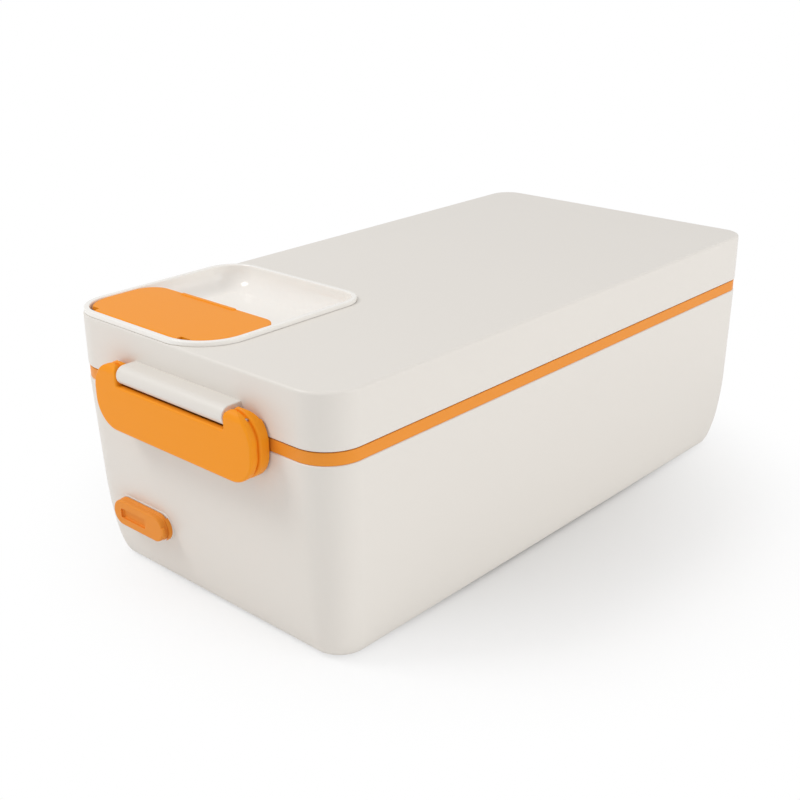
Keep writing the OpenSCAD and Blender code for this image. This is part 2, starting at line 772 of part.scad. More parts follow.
cover_gap = 0.3;
y_cover_back = y_seat - cover_gap;
y_cover_face = y_cover_back - cover_t;
slot_in = 4;
plug_end_gap = 1;
plug_edge_gap = 0.3;
plug_l = plug_depth + cover_gap + nose_back;
anchor_t = 1.2;
anchor_arm = 1;
bead_half_l = 1.5;
x_bead = inlet_x + cover_l / 2;
y_bead = y_cover_face + bead_r;

module cover_outline(grow, front, depth) {
    translate([inlet_x, front + depth, z_inlet]) stadium(cover_l + 2 * grow, cover_h + 2 * grow, depth);
}

module socket_cover() {
    color(orange) difference() {
        union() {
            cover_outline(cover_rim, y_cover_back - cover_flange_t, cover_flange_t);
            cover_outline(0, y_cover_face, cover_t);
            // Hollow plug that fills the mouth of the inlet
            translate([inlet_x, y_cover_back + plug_l, z_inlet]) difference() {
                stadium(inlet_well_w - 2 * plug_end_gap, inlet_well_h - 2 * plug_edge_gap,
                        plug_l + through);
                translate([0, through, 0])
                    stadium(inlet_well_w - 2 * plug_end_gap - 2 * plug_t,
                            inlet_well_h - 2 * plug_edge_gap - 2 * plug_t, plug_l + through);
            }
            // Bead on the strap's end, on which the cover turns
            translate([x_bead, y_bead, z_inlet - bead_half_l])
                cylinder(r = bead_r, h = 2 * bead_half_l, $fn = pin_fn);
            translate([x_bead - bead_r, y_bead, z_inlet - bead_half_l])
                cube([2 * bead_r, y_cover_back - cover_flange_t - y_bead, 2 * bead_half_l]);
        }
        translate([inlet_x - cover_l / 2 + slot_in, y_cover_face - through, z_inlet - slot_h / 2])
            cube([slot_l, slot_depth + through, slot_h]);
    }
}

module cover_anchor() {
    color(orange) difference() {
        intersection() {
            translate([anchor_show, 0, 0]) cover_outline(cover_rim, y_seat - anchor_t, anchor_t);
            translate([inlet_x + cover_l / 2 - anchor_arm, y_seat - cover_h, z_inlet - cover_h])
                cube(2 * cover_h);
        }
        cover_outline(cover_rim + cover_gap, y_seat - anchor_t - through, anchor_t + 2 * through);
    }
}

// ---- Pot ----

pot_out = well_t + pot_gap;
z_pot = z_floor + plate_t + seat_gap;
z_pot_rim = z_deck + seat_gap;

module pot_form(d, low, high) {
    hull() {
        for (a = [0:30:90]) {
            h = (pot_bottom_r - d + pot_out) * (1 - cos(a));
            side = (pot_bottom_r - d + pot_out) * (1 - sin(a));
            translate([0, 0, low + h]) linear_extrude(eps) outline(well_box, well_radii, d + side);
        }
        translate([0, 0, high - eps]) linear_extrude(eps) outline(well_box, well_radii, d);
    }
}

module food_pot() {
    color(steel) difference() {
        union() {
            pot_form(pot_out, z_pot, z_pot_rim + pot_rim_t);
            slab(well_box, well_radii, -pot_rim_w + well_t, z_pot_rim, z_pot_rim + pot_rim_t);
        }
        pot_form(pot_out + pot_t, z_pot + pot_t, z_pot_rim + pot_rim_t + through);
    }
}

// ---- Lid ----

lid_clear = 0.25;
recess_x = -side_x + recess_left;
recess_box = [recess_x, front_y + recess_front, recess_x + recess_width, front_y + recess_rear];
recess_radii = [front_corner_r - recess_left, 17, 9, 12];
rim_sunk = 0.25;
neck_in = 1;
neck_gap = 0.15;
under_flap = 0.4;
z_flap_face = z_top + rim_proud - flap_depth;
z_bed = z_flap_face - flap_t - under_flap;
bed_t = 2;
bowl_y = front_y + flap_rear - flap_overhang;
bowl_front_r = 4;
opening_below = 1;

lid_screw_head_t = 1.2;
lid_screw_l = 8.5;
behind_recess = 14;
lid_screw_x = side_x - lid_screw_side;
lid_screw_places = [
    [lid_screw_x, front_y + lid_screw_front], [lid_screw_x, 0], [lid_screw_x, rear_y - lid_screw_rear],
    [-lid_screw_x, rear_y - lid_screw_rear], [-lid_screw_x, front_y + recess_rear + behind_recess]];

module at_lid_screws() {
    for (p = lid_screw_places) translate([p.x, p.y, 0]) children();
}

lid_knuckle_half_w = hinge_half_w - base_knuckle_w - seat_gap;

// Knuckle between the two on the base, with a web up to the lid's end wall
module lid_knuckle() {
    translate([0, y_hinge, z_hinge]) rod_x(knuckle_r, lid_knuckle_half_w);
    translate([-lid_knuckle_half_w, 0, 0]) rotate([90, 0, 90]) linear_extrude(2 * lid_knuckle_half_w)
        polygon([[rear_y - wall / 2, z_lid], [y_hinge, z_lid], [y_hinge + web_reach, z_hinge + web_reach],
                 [rear_y - wall / 2, z_lid + web_h]]);
}

// Bar that carries the latch: round in front, flat back to the lid's end wall
module latch_barrel() {
    round_front = [for (a = [90:7.5:270]) [y_pivot + barrel_r * cos(a), z_pivot + barrel_r * sin(a)]];
    back = front_y + wall / 2;
    translate([-barrel_half_l, 0, 0]) rotate([90, 0, 90]) linear_extrude(2 * barrel_half_l)
        polygon(concat(round_front, [[back, z_pivot - barrel_r], [back, z_pivot + barrel_r]]));
}

module lid_form() {
    hull() {
        slab(rim_box, rim_radii, 0, z_lid, z_top - lid_edge_r);
        for (a = [30:30:90])
            translate([0, 0, z_top - lid_edge_r * (1 - sin(a)) - eps]) linear_extrude(eps)
                outline(rim_box, rim_radii, lid_edge_r * (1 - cos(a)));
    }
}

module lid_shell() {
    color(cream) difference() {
        union() {
            difference() {
                lid_form();
                slab(rim_box, rim_radii, wall, z_lid - through, z_top - lid_t);
            }
            at_lid_screws() translate([0, 0, z_liner + liner_t])
                cylinder(r = boss_r, h = z_top - lid_t - z_liner - liner_t + eps, $fn = pin_fn);
            latch_barrel();
            lid_knuckle();
        }
        // Opening for the recess tray
        slab(recess_box, recess_radii, neck_in - neck_gap, z_top - bowl_depth - bowl_t - opening_below,
             z_top + through);
        // Step in the lid's top for the tray's rim
        slab(recess_box, recess_radii, -neck_gap, z_top - rim_sunk, z_top + through);
        at_lid_screws() translate([0, 0, z_liner + lid_screw_head_t])
            cylinder(r = screw_r + fit, h = lid_screw_l + screw_end_gap, $fn = pin_fn);
        translate([0, y_pivot, z_pivot]) rod_x(latch_pin_r + fit, barrel_half_l + through);
        translate([0, y_hinge, z_hinge]) rod_x(hinge_pin_r + fit, hinge_half_w);
    }
}

seal_band_gap = 0.5;
seal_in = band_recess + band_t + seal_band_gap;
seal_tongue_h = 1;
tongue_in = seal_in + (seal_w - seal_tongue_t) / 2;
z_seal = z_deck + seat_gap;
valve_y = front_y + valve_front;
chimney_hole_r = valve_r + 1.2;
chimney_r = chimney_hole_r + 1.2;

module lid_liner() {
    color(white) difference() {
        union() {
            slab(rim_box, rim_radii, wall + lid_clear, z_liner, z_liner + liner_t);
            translate([valve_x, valve_y, z_liner + liner_t - eps])
                cylinder(r = chimney_r, h = z_bed - bed_t - z_liner - liner_t + eps, $fn = foot_fn);
        }
        // Groove for the seal's tongue
        ring(rim_box, rim_radii, tongue_in, tongue_in + seal_tongue_t, z_liner - through,
             z_liner + seal_tongue_h);
        translate([valve_x, valve_y, z_liner - through])
            cylinder(r = chimney_hole_r, h = z_bed - z_liner + 2 * through, $fn = foot_fn);
        at_lid_screws() {
            translate([0, 0, z_liner - through])
                cylinder(r = screw_r + fit, h = liner_t + 2 * through, $fn = pin_fn);
            translate([0, 0, z_liner - through])
                cylinder(r = screw_head_r + head_gap, h = lid_screw_head_t + through, $fn = pin_fn);
        }
    }
}

module lid_seal() {
    color(white) {
        ring(rim_box, rim_radii, seal_in, seal_in + seal_w, z_seal, z_liner);
        ring(rim_box, rim_radii, tongue_in, tongue_in + seal_tongue_t, z_liner - eps,
             z_liner + seal_tongue_h);
    }
}

module lid_screws() {
    color(steel) at_lid_screws() translate([0, 0, z_liner + lid_screw_head_t])
        screw_up(screw_r, screw_head_r, lid_screw_head_t, lid_screw_l);
}

// Bowl of the recess: a quarter-ellipse wall down to a flat floor
module bowl_form(grow, depth) {
    b = [recess_box[0] + rim_w - grow, bowl_y - grow, recess_box[2] - rim_w + grow,
         recess_box[3] - rim_w + grow];
    radii = [bowl_front_r, bowl_front_r, recess_radii[2] - rim_w + grow, recess_radii[3] - rim_w + grow];
    hull() for (a = [0:15:90])
        translate([0, 0, z_top - depth * sin(a) - eps]) linear_extrude(a == 0 ? rim_proud + through : eps)
            outline(b, radii, bowl_round * (1 - cos(a)));
}

bed_behind = 1;
valve_head_w = 2;
valve_head_t = 0.8;
valve_lip_w = 0.8;
valve_lip_t = 1;

module vent_tray() {
    color(white) difference() {
        union() {
            ring(recess_box, recess_radii, 0, rim_w, z_top - rim_sunk, z_top + rim_proud);
            // Neck and bed of the flap
            difference() {
                slab(recess_box, recess_radii, neck_in, z_bed - bed_t, z_top + eps);
                translate([-body_w, bowl_y + bowl_front_r + bed_behind, 0])
                    cube([2 * body_w, body_l, 2 * z_top]);
            }
            intersection() {
                bowl_form(rim_w - neck_in, bowl_depth + bowl_t);
                slab(recess_box, recess_radii, neck_in, 0, z_top + eps);
            }
        }
        difference() {
            slab(recess_box, recess_radii, rim_w, z_bed, z_top + rim_proud + through);
            translate([-body_w, bowl_y + bowl_front_r, 0]) cube([2 * body_w, body_l, 2 * z_top]);
        }
        bowl_form(0, bowl_depth);
        translate([valve_x, valve_y, z_bed - bed_t - through])
            cylinder(r = valve_r, h = bed_t + 2 * through, $fn = pin_fn);
        translate([valve_x, valve_y, z_bed - valve_head_t])
            cylinder(r = valve_r + valve_head_w, h = valve_head_t + through, $fn = pin_fn);
        translate([flap_pin_x0 - flap_pin_gap / 2, y_flap_pin, z_flap_pin]) rotate([0, 90, 0])
            cylinder(r = flap_pin_r + fit, h = flap_pin_x1 - flap_pin_x0 + flap_pin_gap, $fn = pin_fn);
    }
}

module steam_valve() {
    color(white) difference() {
        translate([valve_x, valve_y, z_bed]) {
            translate([0, 0, -valve_head_t])
                cylinder(r = valve_r + valve_head_w, h = valve_head_t, $fn = pin_fn);
            translate([0, 0, -bed_t - valve_lip_t / 2])
                cylinder(r = valve_r, h = bed_t + valve_lip_t / 2 - valve_head_t / 2, $fn = pin_fn);
            translate([0, 0, -bed_t - valve_lip_t])
                cylinder(r = valve_r + valve_lip_w, h = valve_lip_t, $fn = pin_fn);
        }
        translate([valve_x, valve_y, z_bed - bed_t - valve_lip_t - through])
            cylinder(r = valve_hole_r, h = bed_t + valve_lip_t + 2 * through, $fn = pin_fn);
    }
}

// ---- Vent flap ----

flap_box = [recess_box[0] + rim_w + flap_gap, recess_box[1] + rim_w + flap_gap,
            recess_box[2] - rim_w - flap_gap, front_y + flap_rear];
flap_swing = 1.5;
flap_far_radii = [6, 8];
flap_radii = concat([recess_radii[0] - rim_w - flap_gap + flap_swing,
                     recess_radii[1] - rim_w - flap_gap + flap_swing], flap_far_radii);
z_flap_pin = z_flap_face - flap_t / 2;
y_flap_pin = flap_box[1] + flap_t / 2;
// Beside its hinge barrel the flap starts behind the arc on which it clears the recess's rim
y_flap_side = y_flap_pin + z_top + rim_proud - z_flap_pin + side_gap;
barrel_x0 = recess_box[0] + recess_radii[0];
barrel_x1 = recess_box[2] - recess_radii[1];
barrel_mid_x = (barrel_x0 + barrel_x1) / 2;
flap_barrel_half_l = (barrel_x1 - barrel_x0) / 2;
lip_in = 16;
lip_w = 1.6;
nib_gap = 0.45;
nib_l = 1.2;
flap_pin_gap = 0.2;

// Distance from a corner's side, at depth d behind its front, to an arc of radius r
function arc_inset(r, d) = r - sqrt(r * r - pow(r - d, 2));
pin_depth = y_flap_pin - flap_pin_r - recess_box[1] - neck_in;
flap_pin_x0 = recess_box[0] + neck_in + arc_inset(recess_radii[0] - neck_in, pin_depth) + flap_pin_gap;
flap_pin_x1 = recess_box[2] - neck_in - arc_inset(recess_radii[1] - neck_in, pin_depth) - flap_pin_gap;

module vent_flap() {
    color(orange) difference() {
        union() {
            difference() {
                slab(flap_box, flap_radii, 0, z_flap_face - flap_t, z_flap_face);
                translate([-body_w, y_flap_side - body_l, 0]) cube([2 * body_w, body_l, 2 * z_top]);
            }
            // Hinge barrel along the front edge
            translate([barrel_mid_x, y_flap_pin, z_flap_pin]) rod_x(flap_t / 2, flap_barrel_half_l);
            translate([barrel_x0, y_flap_pin, z_flap_pin - flap_t / 2])
                cube([2 * flap_barrel_half_l, y_flap_side - y_flap_pin + eps, flap_t]);
            translate([flap_box[0] + lip_in, flap_box[3] - lip_w, z_flap_face - eps])
                cube([lip_l, lip_w, lip_h + eps]);
            // Nib that closes the steam valve
            translate([valve_x, valve_y, z_bed - nib_l])
                cylinder(r = valve_hole_r - nib_gap, h = nib_l + under_flap + through, $fn = pin_fn);
        }
        translate([barrel_mid_x, y_flap_pin, z_flap_pin])
            rod_x(flap_pin_r + fit, flap_barrel_half_l + through);
    }
}

module flap_pin() {
    color(steel) translate([flap_pin_x0, y_flap_pin, z_flap_pin]) rotate([0, 90, 0])
        cylinder(r = flap_pin_r, h = flap_pin_x1 - flap_pin_x0, $fn = pin_fn);
}

// ---- Latch ----

y_latch_face = y_pivot - ear_r;
y_plate_back = y_latch_face + latch_plate_t;
y_latch_back = front_y - latch_wall_gap;
z_latch_low = z_top - latch_low;
z_ear_top = z_pivot + ear_r;
notch_half_w = barrel_half_l + seat_gap;
barrel_under_gap = 0.4;
notch_depth = barrel_r + barrel_under_gap;
pocket_side = 2.2;
pocket_under = 0.4;
pocket_half_w = notch_half_w + pocket_side;
hook_wall_gap = 1.5;
latch_pin_reach = 7.5;

module latch_outline() {
    b = [-latch_half_w, z_latch_low, latch_half_w, z_ear_top];
    difference() {
        polygon(rounded(b, [latch_r, latch_r, latch_r, latch_r]));
        translate([-notch_half_w, z_pivot - notch_depth])
            square([2 * notch_half_w, notch_depth + 2 * ear_r]);
    }
}

module latch_lever() {
    color(orange) difference() {
        union() {
            intersection() {
                translate([0, y_latch_back, 0]) rotate([90, 0, 0])
                    linear_extrude(y_latch_back - y_latch_face) latch_outline();
                union() {
                    translate([0, y_pivot, z_pivot]) rod_x(ear_r, body_w / 2);
                    translate([-body_w / 2, y_latch_face - through, 0]) cube([body_w, body_w, z_pivot]);
                }
                difference() {
                    translate([-body_w, y_latch_face, 0]) cube([2 * body_w, body_w, 2 * z_top]);
                    translate([-pocket_half_w, y_plate_back, 0])
                        cube([2 * pocket_half_w, body_w, z_pivot - notch_depth + pocket_under]);
                }
            }
            // Hook that goes under the catch
            translate([-hook_half_w, y_plate_back - eps, z_top - catch_low - seat_gap - hook_t])
                cube([2 * hook_half_w, front_y - hook_wall_gap - y_plate_back, hook_t]);
        }
        for (s = [-1, 1]) translate([s * (notch_half_w - through), y_pivot, z_pivot])
            rotate([0, s * 90, 0])
                cylinder(r = latch_pin_r + fit, h = latch_pin_reach + pin_end_gap + through,
                         $fn = pin_fn);
    }
}

module latch_pin() {
    color(steel) translate([0, y_pivot, z_pivot]) rod_x(latch_pin_r, notch_half_w + latch_pin_reach);
}

module hinge_pin() {
    color(steel) translate([0, y_hinge, z_hinge]) rod_x(hinge_pin_r, hinge_half_w - pin_end_gap);
}

base_shell();
trim_band();
inner_liner();
heating_plate();
ptc_heater();
heater_clamp();
clamp_screws();
thermostat();
thermal_fuse();
insulation_pad();
internal_wiring();
inlet_housing();
inlet_contacts();
inlet_screws();
cover_anchor();
socket_cover();
bottom_cover();
bottom_screws();
rubber_feet();
hinge_pin();
food_pot();
lid_shell();
lid_liner();
lid_seal();
lid_screws();
vent_tray();
steam_valve();
vent_flap();
flap_pin();
latch_lever();
latch_pin();
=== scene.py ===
import math

import bmesh
import bpy
from mathutils import Matrix, Vector


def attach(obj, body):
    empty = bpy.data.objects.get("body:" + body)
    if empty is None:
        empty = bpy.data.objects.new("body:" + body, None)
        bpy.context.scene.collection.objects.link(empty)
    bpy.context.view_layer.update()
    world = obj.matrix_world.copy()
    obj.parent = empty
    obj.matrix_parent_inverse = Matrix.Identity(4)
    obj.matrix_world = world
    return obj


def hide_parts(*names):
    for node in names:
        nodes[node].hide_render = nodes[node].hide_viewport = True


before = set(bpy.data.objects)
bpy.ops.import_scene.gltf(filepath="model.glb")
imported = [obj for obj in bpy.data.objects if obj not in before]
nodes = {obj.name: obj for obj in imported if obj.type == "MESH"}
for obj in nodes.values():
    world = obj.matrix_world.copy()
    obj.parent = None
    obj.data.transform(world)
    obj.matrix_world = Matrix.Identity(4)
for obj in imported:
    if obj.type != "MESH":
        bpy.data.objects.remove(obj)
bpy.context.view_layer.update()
scene = bpy.context.scene
mm = 0.001

# The box in millimetres, on the same planes as its solids
box = dict(
    halfWidth=60, front=-116, rear=116, shell=1, band=66.9, rim=70.9, lid=71.2, top=88.9,
    frontCorner=13, rearCorner=9, frontFoot=8.6, rearFoot=3.5,
    sideDraft=1.9, frontDraft=2.9, rearDraft=0.4, sideRound=3.5, frontRound=4.9, rearRound=10.2,
    roundHeight=30.8, wall=2.2,
)
meshing = dict(cornerSteps=20, endSteps=24, leastRadius=0.3, mitreLimit=0.4,
               merge=1e-6, mergeCut=2e-6, solidSharp=24, pieceSharp=30)
cutPast = 1  # how far a cut runs on past the face that it opens


def arc(x, y, r, start, steps, sweep=90):
    # start and sweep in degrees
    return [(x + r * math.cos(math.radians(start + sweep * i / steps)),
             y + r * math.sin(math.radians(start + sweep * i / steps))) for i in range(steps + 1)]


def disc(x, y, r, steps=48):
    return [(x + r * math.cos(2 * math.pi * i / steps),
             y + r * math.sin(2 * math.pi * i / steps)) for i in range(steps)]


def quarter(steps):
    # angles from 0 to a right angle; without steps only the first
    return [math.pi / 2 * i / steps for i in range(steps + 1)] if steps else [0.0]


def rounded(area, radii, inset=0.0, steps=meshing["cornerSteps"]):
    # area is x0, y0, x1, y1 and radii go near left, near right, far right, far left
    x0, y0, x1, y1 = area[0] + inset, area[1] + inset, area[2] - inset, area[3] - inset
    a, b, c, d = [max(r - inset, meshing["leastRadius"]) for r in radii]
    return (arc(x0 + a, y0 + a, a, 180, steps) + arc(x1 - b, y0 + b, b, 270, steps)
            + arc(x1 - c, y1 - c, c, 0, steps) + arc(x0 + d, y1 - d, d, 90, steps))


def rectangle(x0, y0, x1, y1):
    return [(x0, y0), (x1, y0), (x1, y1), (x0, y1)]


def stadium(x, y, length, height):
    r, half, steps = height / 2, (length - height) / 2, meshing["endSteps"]
    return arc(x + half, y, r, -90, steps, 180) + arc(x - half, y, r, 90, steps, 180)


def upright(u, v, w):
    return Vector((u, v, w))


def facingFront(u, v, w):
    # u across, v up, w towards the latch end
    return Vector((u, -w, v))


def facingSide(u, v, w):
    # u along the box, v up, w across it
    return Vector((w, u, v))


def shiftIn(outline, distance):
    # every point moves inwards along the mitre of its two edges
    if abs(distance) < 1e-9:
        return list(outline)
    moved = []
    count = len(outline)
    for i in range(count):
        before, here, after = Vector(outline[i - 1]), Vector(outline[i]), Vector(outline[(i + 1) % count])
        e1, e2 = (here - before).normalized(), (after - here).normalized()
        n1, n2 = Vector((-e1.y, e1.x)), Vector((-e2.y, e2.x))
        n = (n1 + n2).normalized()
        p = here + n * distance / max(n.dot(n1), meshing["mitreLimit"])
        moved.append((p.x, p.y))
    return moved


def makePiece(name, points, faces):
    mesh = bpy.data.meshes.new(name)
    mesh.from_pydata([p * mm for p in points], [], faces)
    piece = bpy.data.objects.new(name, mesh)
    scene.collection.objects.link(piece)
    bm = bmesh.new()
    bm.from_mesh(mesh)
    bmesh.ops.remove_doubles(bm, verts=bm.verts, dist=meshing["merge"])
    bmesh.ops.recalc_face_normals(bm, faces=bm.faces)
    bm.to_mesh(mesh)
    bm.free()
    return piece


def ringFaces(count, rings, closed):
    faces = []
    last = rings if closed else rings - 1
    for r in range(last):
        a, b = r * count, ((r + 1) % rings) * count
        for i in range(count):
            j = (i + 1) % count
            faces.append((a + i, a + j, b + j, b + i))
    return faces


def loft(name, rings, closed=False):
    # rings of equal length; an open loft gets a cap at each end
    count = len(rings[0])
    faces = ringFaces(count, len(rings), closed)
    if not closed:
        faces.append(tuple(range(count))[::-1])
        faces.append(tuple(range((len(rings) - 1) * count, len(rings) * count)))
    return makePiece(name, [p for ring in rings for p in ring], faces)


def edgeLevels(low, high, lowEdge, highEdge, lowSteps, highSteps):
    # inset and height of each ring of a block with rounded lower and upper edges
    levels = [(lowEdge * (1 - math.sin(a)), low + lowEdge * (1 - math.cos(a)))
              for a in quarter(lowSteps if lowEdge else 0)]
    levels += [(highEdge * (1 - math.cos(a)), high - highEdge * (1 - math.sin(a)))
               for a in quarter(highSteps if highEdge else 0)]
    return levels


def roundedPrism(name, outline, low, high, lowEdge=0.0, highEdge=0.0, place=upright, steps=5):
    levels = edgeLevels(low, high, lowEdge, highEdge, steps, steps)
    return loft(name, [[place(u, v, w) for u, v in shiftIn(outline, inset)] for inset, w in levels])


def crossRib(name, look):
    outline = rounded(look["area"], look["radii"], steps=look["steps"])
    return roundedPrism(name, outline, look["low"], look["high"], look["edge"], look["edge"],
                        steps=look["steps"])


def combine(piece, others, how="UNION"):
    for other in others:
        cut = piece.modifiers.new("cut", "BOOLEAN")
        cut.operation = how
        cut.solver = "EXACT"
        cut.object = other
        graph = bpy.context.evaluated_depsgraph_get()
        done = bpy.data.meshes.new_from_object(piece.evaluated_get(graph))
        piece.modifiers.clear()
        old = piece.data
        piece.data = done
        bpy.data.meshes.remove(old)
        bpy.data.objects.remove(other)
    bm = bmesh.new()
    bm.from_mesh(piece.data)
    bmesh.ops.remove_doubles(bm, verts=bm.verts, dist=meshing["mergeCut"])
    bmesh.ops.dissolve_degenerate(bm, edges=bm.edges, dist=meshing["merge"])
    bm.to_mesh(piece.data)
    bm.free()


def coat(piece, material, sharp):
    # one material all over, smooth but for the edges above the angle
    piece.data.materials.clear()
    piece.data.materials.append(material)
    for face in piece.data.polygons:
        face.use_smooth = True
    piece.data.set_sharp_from_angle(angle=math.radians(sharp))


def finishPiece(piece, material, body, replaced):
    coat(piece, material, meshing["pieceSharp"])
    normals = piece.modifiers.new("faceWeighted", "WEIGHTED_NORMAL")
    normals.keep_sharp = True
    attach(piece, body)
    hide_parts(*replaced)


def toLinear(red, green, blue):
    return tuple((c / 12.92 if c <= 0.04045 else ((c + 0.055) / 1.055) ** 2.4)
                 for c in (red / 255, green / 255, blue / 255)) + (1.0,)


def newGroup(name, inputs, outputs):
    group = bpy.data.node_groups.new(name, "ShaderNodeTree")
    for label, kind, value in inputs:
        socket = group.interface.new_socket(name=label, in_out="INPUT", socket_type=kind)
        socket.default_value = value
    for label, kind in outputs:
        group.interface.new_socket(name=label, in_out="OUTPUT", socket_type=kind)
    return group, group.nodes.new("NodeGroupInput"), group.nodes.new("NodeGroupOutput")


def mathNode(tree, operation, first, second=None):
    node = tree.nodes.new("ShaderNodeMath")
    node.operation = operation
    for i, value in enumerate((first, second)):
        if value is None:
            continue
        if hasattr(value, "is_output"):
            tree.links.new(value, node.inputs[i])
        else:
            node.inputs[i].default_value = value
    return node.outputs[0]


def buildMoulding():
    # Moulded plastic: faint clouds in the colour, a fine spark-eroded texture in the height
    group, start, end = newGroup(
        "moulding",
        [("Color", "NodeSocketColor", (0.8, 0.8, 0.8, 1)), ("Cloud", "NodeSocketFloat", 0.02),
         ("Roughness", "NodeSocketFloat", 0.4), ("Unevenness", "NodeSocketFloat", 0.06),
         ("Texture Scale", "NodeSocketFloat", 1800.0)],
        [("Color", "NodeSocketColor"), ("Roughness", "NodeSocketFloat"), ("Height", "NodeSocketFloat")])
    where = group.nodes.new("ShaderNodeTexCoord")
    clouds = group.nodes.new("ShaderNodeTexNoise")
    clouds.inputs["Scale"].default_value = 14
    clouds.inputs["Detail"].default_value = 3
    fine = group.nodes.new("ShaderNodeTexNoise")
    fine.inputs["Detail"].default_value = 4
    fine.inputs["Roughness"].default_value = 0.65
    shade = group.nodes.new("ShaderNodeHueSaturation")
    group.links.new(where.outputs["Object"], clouds.inputs["Vector"])
    group.links.new(where.outputs["Object"], fine.inputs["Vector"])
    group.links.new(start.outputs["Texture Scale"], fine.inputs["Scale"])
    centred = mathNode(group, "SUBTRACT", clouds.outputs["Fac"], 0.5)
    brighter = mathNode(group, "MULTIPLY", centred, start.outputs["Cloud"])
    value = mathNode(group, "ADD", brighter, 1.0)
    group.links.new(start.outputs["Color"], shade.inputs["Color"])
    group.links.new(value, shade.inputs["Value"])
    uneven = mathNode(group, "MULTIPLY", centred, start.outputs["Unevenness"])
    group.links.new(shade.outputs["Color"], end.inputs["Color"])
    group.links.new(mathNode(group, "ADD", uneven, start.outputs["Roughness"]), end.inputs["Roughness"])
    group.links.new(fine.outputs["Fac"], end.inputs["Height"])
    return group


def buildBrushing():
    # Brushed metal: streaks along one direction in the colour, the roughness and the height
    group, start, end = newGroup(
        "brushing",
        [("Color", "NodeSocketColor", (0.6, 0.6, 0.62, 1)), ("Roughness", "NodeSocketFloat", 0.3),
         ("Streaks", "NodeSocketFloat", 0.15), ("Stretch", "NodeSocketVector", (20.0, 900.0, 900.0))],
        [("Color", "NodeSocketColor"), ("Roughness", "NodeSocketFloat"), ("Height", "NodeSocketFloat")])
    where = group.nodes.new("ShaderNodeTexCoord")
    stretch = group.nodes.new("ShaderNodeMapping")
    streaks = group.nodes.new("ShaderNodeTexNoise")
    streaks.inputs["Scale"].default_value = 1.0
    streaks.inputs["Detail"].default_value = 5
    shade = group.nodes.new("ShaderNodeHueSaturation")
    group.links.new(where.outputs["Object"], stretch.inputs["Vector"])
    group.links.new(start.outputs["Stretch"], stretch.inputs["Scale"])
    group.links.new(stretch.outputs["Vector"], streaks.inputs["Vector"])
    centred = mathNode(group, "SUBTRACT", streaks.outputs["Fac"], 0.5)
    spread = mathNode(group, "MULTIPLY", centred, start.outputs["Streaks"])
    group.links.new(start.outputs["Color"], shade.inputs["Color"])
    group.links.new(mathNode(group, "ADD", spread, 1.0), shade.inputs["Value"])
    group.links.new(shade.outputs["Color"], end.inputs["Color"])
    group.links.new(mathNode(group, "ADD", spread, start.outputs["Roughness"]), end.inputs["Roughness"])
    group.links.new(streaks.outputs["Fac"], end.inputs["Height"])
    return group


moulding = buildMoulding()
brushing = buildBrushing()
print("shared effects ready")


def newMaterial(name, group, values, bumpStrength, bumpDistance, **surface):
    material = bpy.data.materials.new(name)
    material.use_nodes = True
    tree = material.node_tree
    shader = tree.nodes["Principled BSDF"]
    effect = tree.nodes.new("ShaderNodeGroup")
    effect.node_tree = group
    for label, value in values.items():
        effect.inputs[label].default_value = value
    bump = tree.nodes.new("ShaderNodeBump")
    bump.inputs["Strength"].default_value = bumpStrength
    bump.inputs["Distance"].default_value = bumpDistance
    tree.links.new(effect.outputs["Color"], shader.inputs["Base Color"])
    tree.links.new(effect.outputs["Roughness"], shader.inputs["Roughness"])
    tree.links.new(effect.outputs["Height"], bump.inputs["Height"])
    tree.links.new(bump.outputs["Normal"], shader.inputs["Normal"])
    for label, value in surface.items():
        shader.inputs[label].default_value = value
    return material


bumpLook = dict(plasticDistance=0.00006, metalStrength=0.15, metalDistance=0.00003)


def plastic(name, colour, roughness=0.38, grain=0.12, scale=1800.0, cloud=0.02, **surface):
    values = {"Color": toLinear(*colour), "Roughness": roughness, "Texture Scale": scale, "Cloud": cloud}
    return newMaterial(name, moulding, values, grain, bumpLook["plasticDistance"], **surface)


def metal(name, colour, roughness=0.28, streaks=0.2, stretch=(20.0, 900.0, 900.0)):
    values = {"Color": toLinear(*colour), "Roughness": roughness, "Streaks": streaks, "Stretch": stretch}
    return newMaterial(name, brushing, values, bumpLook["metalStrength"], bumpLook["metalDistance"],
                       Metallic=1.0)


creamShell = plastic("creamShell", (230, 225, 218), 0.36, 0.10)
glossWhite = plastic("glossWhite", (247, 244, 239), 0.16, 0.03)
innerWhite = plastic("innerWhite", (236, 234, 229), 0.42, 0.15)
orangePlastic = plastic("orangePlastic", (248, 154, 30), 0.36, 0.10, **{"Specular IOR Level": 0.15})
orangeBand = plastic("orangeBand", (238, 148, 44), 0.40, 0.10, **{"Specular IOR Level": 0.3})
orangeRubber = plastic("orangeRubber", (237, 146, 46), 0.52, 0.25, 2600.0, **{"Specular IOR Level": 0.3})
sealRubber = plastic("sealRubber", (226, 225, 221), 0.55, 0.20, 2600.0)
footRubber = plastic("footRubber", (58, 58, 60), 0.70, 0.35, 1500.0)
blackPlastic = plastic("blackPlastic", (32, 32, 34), 0.45, 0.20)
brownPlastic = plastic("brownPlastic", (74, 50, 34), 0.40, 0.15)
fuseCeramic = plastic("fuseCeramic", (232, 228, 218), 0.55, 0.30)
insulationFelt = plastic("insulationFelt", (214, 208, 190), 0.95, 0.80, 900.0, 0.12)
wireSleeve = plastic("wireSleeve", (176, 42, 34), 0.45, 0.10)
potSteel = metal("potSteel", (205, 206, 208), 0.24, 0.16, (900.0, 30.0, 900.0))
screwSteel = metal("screwSteel", (190, 191, 194), 0.30, 0.15)
plateAluminium = metal("plateAluminium", (206, 207, 208), 0.38, 0.25)
contactBrass = metal("contactBrass", (205, 172, 98), 0.28, 0.12)
print("materials ready")

